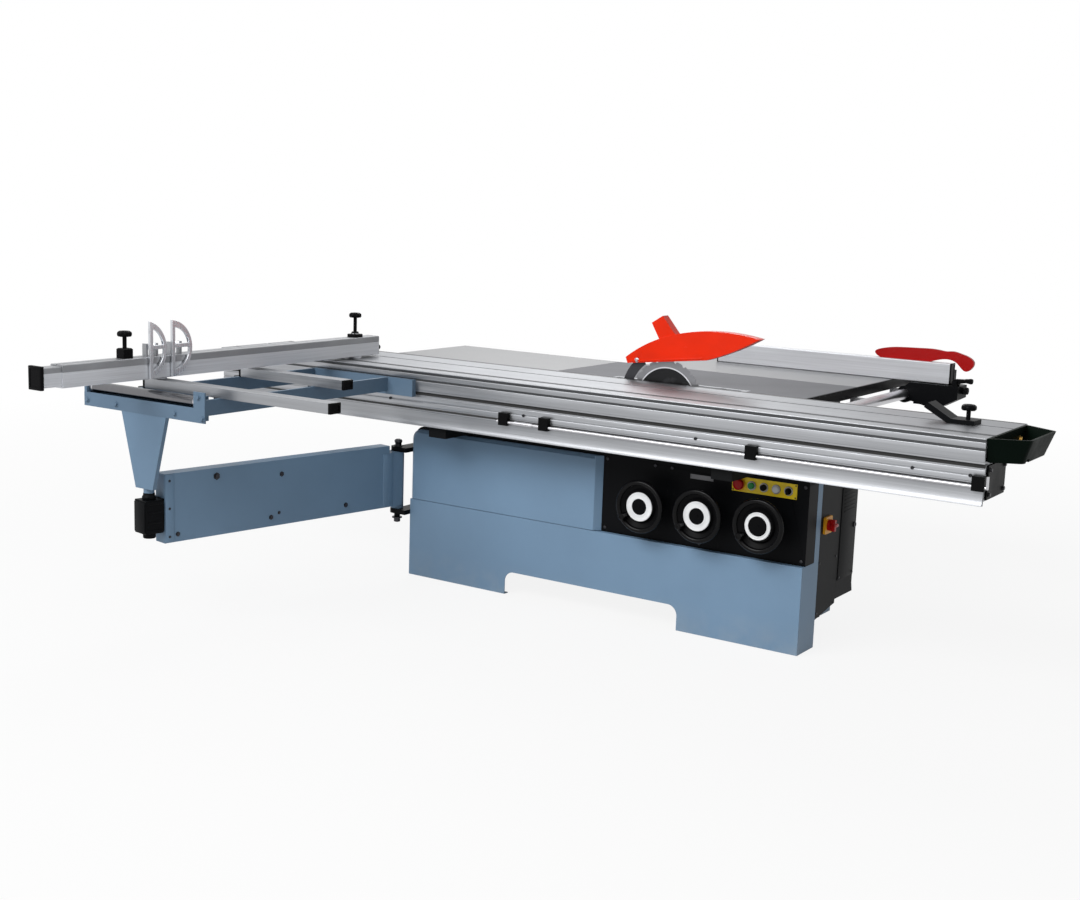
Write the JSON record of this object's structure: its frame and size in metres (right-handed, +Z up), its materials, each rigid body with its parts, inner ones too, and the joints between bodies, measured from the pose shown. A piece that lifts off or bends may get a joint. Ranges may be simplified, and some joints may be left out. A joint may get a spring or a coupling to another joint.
{
  "type": "sliding table panel saw",
  "caption": "Floor-standing panel saw with a long sliding table, tilting blade and guard, crosscut fence on an outrigger with swing arm, and a rip fence on a round rail.",
  "frame": {"origin": "on the floor, at the centre of the anchor holes under the cabinet", "axes": "+X along the sliding table to the operator's end, +Y to the back, +Z up"},
  "size_m": [3.325, 3.124, 1.097],
  "materials": {
    "blue_paint": "satin powder coat",
    "black_paint": "semi-gloss paint",
    "frame_paint": "plain primer",
    "cast_table": "ground",
    "sheet_table": "satin",
    "anodised": "brushed anodised",
    "bare_steel": "turned",
    "blade_steel": "ground",
    "black_plastic": "matte",
    "guard_red": "moulded",
    "red_plastic": "moulded",
    "green_plastic": "moulded",
    "yellow_plate": "printed",
    "yellow_plastic": "moulded",
    "belt_rubber": "moulded",
    "motor_paint": "cast and painted"
  },
  "bodies": {
    "machine": {"base_frame": "frame_paint", "front_skirt": "blue_paint", "left_front_cover": "blue_paint", "control_panel": "black_paint", "rear_shell": "blue_paint", "right_side_panel": "black_paint", "electrical_box": "black_paint", "isolator_base": "yellow_plastic", "button_plate": "yellow_plate", "main_table": "cast_table", "outfeed_table": "sheet_table", "side_table": "sheet_table", "table_insert": "anodised", "fence_rail": "bare_steel", "guide_beam": "anodised", "beam_end_plates": "black_plastic", "rod_clips": "black_plastic", "hinge_bracket": "black_paint"},
    "sliding_table": {"sliding_carriage": "anodised", "push_handle": "black_plastic", "outrigger_frame": "blue_paint", "support_bars": "anodised"},
    "rip_fence_profile": {"rip_fence_profile": "anodised", "push_stick": "red_plastic"},
    "saw_carrier": {"saw_carrier": "frame_paint", "main_motor": "motor_paint", "drive_belt": "belt_rubber", "riving_knife": "blade_steel"},
    "arbor": {"arbor": "bare_steel", "main_blade": "blade_steel"},
    "lock_rod": {"lock_rod": "bare_steel"},
    "outrigger_roller": {"outrigger_roller": "bare_steel"},
    "swing_arm": {"swing_arm": "blue_paint"},
    "inner_arm": {"inner_arm": "black_paint"},
    "support_post": {"support_post": "blue_paint"},
    "crosscut_fence": {"crosscut_fence": "anodised"},
    "fence_extension": {"fence_extension": "anodised"},
    "flip_stop_left": {"flip_stop_left": "anodised"},
    "flip_stop_right": {"flip_stop_right": "anodised"},
    "stop_block": {"stop_block": "black_plastic"},
    "stop_knob": {"stop_knob": "black_plastic"},
    "fence_clamp_knob": {"fence_clamp_knob": "black_plastic"},
    "edging_shoe": {"edging_shoe": "black_paint"},
    "shoe_knob": {"shoe_knob": "black_plastic"},
    "rip_fence_carrier": {"rip_fence_carrier": "black_paint"},
    "fence_lock_lever": {"fence_lock_lever": "black_plastic"},
    "fine_adjust_knob": {"fine_adjust_knob": "black_plastic"},
    "tilt_frame": {"tilt_frame": "frame_paint"},
    "motor_pulley": {"motor_pulley": "bare_steel"},
    "blade_guard": {"blade_guard": "guard_red"},
    "scoring_carrier": {"scoring_carrier": "frame_paint"},
    "scoring_blade": {"scoring_blade": "blade_steel"},
    "tilt_handwheel": {"tilt_handwheel": "black_plastic"},
    "lift_handwheel": {"lift_handwheel": "black_plastic"},
    "scoring_handwheel": {"scoring_handwheel": "black_plastic"},
    "estop_button": {"estop_button": "red_plastic"},
    "start_button": {"start_button": "green_plastic"},
    "stop_button": {"stop_button": "black_plastic"},
    "selector_knob": {"selector_knob": "black_plastic"},
    "isolator_knob": {"isolator_knob": "red_plastic"}
  },
  "joints": [
    {"name": "table_slide", "type": "slide", "parent": "machine", "child": "sliding_table", "axis": [1, 0, 0], "range_m": [-1, 0]},
    {"name": "arm_swing", "type": "hinge", "parent": "machine", "child": "swing_arm", "pos_m": [-0.906, -0.315, 0.38], "axis": [0, 0, 1], "range_deg": [-37.5, 0]},
    {"name": "arm_extend", "type": "slide", "parent": "swing_arm", "child": "inner_arm", "axis": [-0.1759, -0.9844, 0], "range_m": [0, 0.51]},
    {"name": "post_turn", "type": "hinge", "parent": "inner_arm", "child": "support_post", "pos_m": [-1.104, -1.423, 0.38], "axis": [0, 0, 1], "range_deg": [0, 37.5]},
    {"name": "roller_spin", "type": "hinge", "parent": "sliding_table", "child": "outrigger_roller", "pos_m": [-1.151, -1.416, 0.802], "axis": [1, 0, 0], "continuous": true},
    {"name": "fence_mitre", "type": "hinge", "parent": "sliding_table", "child": "crosscut_fence", "pos_m": [-1.116, -0.342, 0.858], "axis": [0, 0, 1], "range_deg": [-45, 45]},
    {"name": "extension_pull", "type": "slide", "parent": "crosscut_fence", "child": "fence_extension", "axis": [0, -1, 0], "range_m": [-0.03, 0.35]},
    {"name": "flip_left", "type": "hinge", "parent": "crosscut_fence", "child": "flip_stop_left", "pos_m": [-1.116, -1.401, 0.966], "axis": [0, -1, 0], "range_deg": [0, 95]},
    {"name": "flip_right", "type": "hinge", "parent": "crosscut_fence", "child": "flip_stop_right", "pos_m": [-1.116, -1.294, 0.966], "axis": [0, -1, 0], "range_deg": [0, 95]},
    {"name": "stop_slide", "type": "slide", "parent": "crosscut_fence", "child": "stop_block", "axis": [0, 1, 0], "range_m": [-0.2, 0.05]},
    {"name": "stop_knob_turn", "type": "hinge", "parent": "stop_block", "child": "stop_knob", "pos_m": [-1.116, -1.512, 0.97], "axis": [0, 0, 1], "range_deg": [-180, 180]},
    {"name": "clamp_knob_turn", "type": "hinge", "parent": "crosscut_fence", "child": "fence_clamp_knob", "pos_m": [-1.116, -0.342, 0.96], "axis": [0, 0, 1], "range_deg": [-180, 180]},
    {"name": "shoe_slide", "type": "slide", "parent": "sliding_table", "child": "edging_shoe", "axis": [1, 0, 0], "range_m": [-0.9, 0.08]},
    {"name": "shoe_knob_turn", "type": "hinge", "parent": "edging_shoe", "child": "shoe_knob", "pos_m": [1.338, -0.218, 0.88], "axis": [0, 0, 1], "range_deg": [-180, 180]},
    {"name": "rip_slide", "type": "slide", "parent": "machine", "child": "rip_fence_carrier", "axis": [0, 1, 0], "range_m": [-0.66, 0.4]},
    {"name": "rip_profile_slide", "type": "slide", "parent": "rip_fence_carrier", "child": "rip_fence_profile", "axis": [1, 0, 0], "range_m": [-0.09, 0]},
    {"name": "lock_lever_turn", "type": "hinge", "parent": "rip_fence_carrier", "child": "fence_lock_lever", "pos_m": [0.971, 0.7495, 0.8623], "axis": [0, -1, 0], "range_deg": [0, 60]},
    {"name": "fine_knob_turn", "type": "hinge", "parent": "rip_fence_carrier", "child": "fine_adjust_knob", "pos_m": [0.988, 0.7755, 0.83], "axis": [1, 0, 0], "continuous": true},
    {"name": "saw_tilt", "type": "hinge", "parent": "machine", "child": "tilt_frame", "pos_m": [0.149, -0.053, 0.85], "axis": [1, 0, 0], "range_deg": [-45, 0]},
    {"name": "saw_lift", "type": "slide", "parent": "tilt_frame", "child": "saw_carrier", "axis": [0, 0, 1], "range_m": [-0.026, 0]},
    {"name": "arbor_spin", "type": "hinge", "parent": "saw_carrier", "child": "arbor", "pos_m": [0.149, -0.053, 0.784], "axis": [0, 1, 0], "continuous": true},
    {"name": "motor_spin", "type": "hinge", "parent": "saw_carrier", "child": "motor_pulley", "pos_m": [0.149, 0.1, 0.572], "axis": [0, 1, 0], "continuous": true},
    {"name": "guard_swing", "type": "hinge", "parent": "saw_carrier", "child": "blade_guard", "pos_m": [0.03073, -0.053, 0.92495], "axis": [0, -1, 0], "range_deg": [0, 7]},
    {"name": "scoring_lift", "type": "slide", "parent": "tilt_frame", "child": "scoring_carrier", "axis": [0, 0, 1], "range_m": [-0.008, 0]},
    {"name": "scoring_spin", "type": "hinge", "parent": "scoring_carrier", "child": "scoring_blade", "pos_m": [0.384, -0.053, 0.792], "axis": [0, 1, 0], "continuous": true},
    {"name": "tilt_wheel_turn", "type": "hinge", "parent": "machine", "child": "tilt_handwheel", "pos_m": [0.244, -0.38, 0.445], "axis": [0, 1, 0], "range_deg": [-720, 0]},
    {"name": "lift_wheel_turn", "type": "hinge", "parent": "machine", "child": "lift_handwheel", "pos_m": [0.473, -0.38, 0.445], "axis": [0, 1, 0], "range_deg": [-720, 0]},
    {"name": "scoring_wheel_turn", "type": "hinge", "parent": "machine", "child": "scoring_handwheel", "pos_m": [0.705, -0.38, 0.445], "axis": [0, 1, 0], "range_deg": [-360, 0]},
    {"name": "estop_press", "type": "slide", "parent": "machine", "child": "estop_button", "axis": [0, 1, 0], "range_m": [0, 0.004]},
    {"name": "start_press", "type": "slide", "parent": "machine", "child": "start_button", "axis": [0, 1, 0], "range_m": [0, 0.004], "stiffness_N_per_m": 500},
    {"name": "stop_press", "type": "slide", "parent": "machine", "child": "stop_button", "axis": [0, 1, 0], "range_m": [0, 0.004], "stiffness_N_per_m": 500},
    {"name": "selector_turn", "type": "hinge", "parent": "machine", "child": "selector_knob", "pos_m": [0.7705, -0.29, 0.562], "axis": [0, 1, 0], "range_deg": [-45, 45]},
    {"name": "isolator_turn", "type": "hinge", "parent": "machine", "child": "isolator_knob", "pos_m": [0.85, -0.124, 0.43], "axis": [1, 0, 0], "range_deg": [0, 90]},
    {"name": "lock_rod_turn", "type": "hinge", "parent": "machine", "child": "lock_rod", "pos_m": [0.6, -0.482, 0.7], "axis": [1, 0, 0], "range_deg": [0, 60]}
  ],
  "couplings": [
    {"joint": "arm_swing", "follows": "table_slide", "rad_per_m": 0.64757},
    {"joint": "arm_extend", "follows": "table_slide", "ratio": -0.50628},
    {"joint": "post_turn", "follows": "table_slide", "rad_per_m": -0.64757},
    {"joint": "motor_spin", "follows": "arbor_spin", "ratio": 0.875},
    {"joint": "tilt_wheel_turn", "follows": "saw_tilt", "ratio": 15.9},
    {"joint": "lift_wheel_turn", "follows": "saw_lift", "rad_per_m": 480},
    {"joint": "scoring_wheel_turn", "follows": "scoring_lift", "rad_per_m": 785.4}
  ]
}
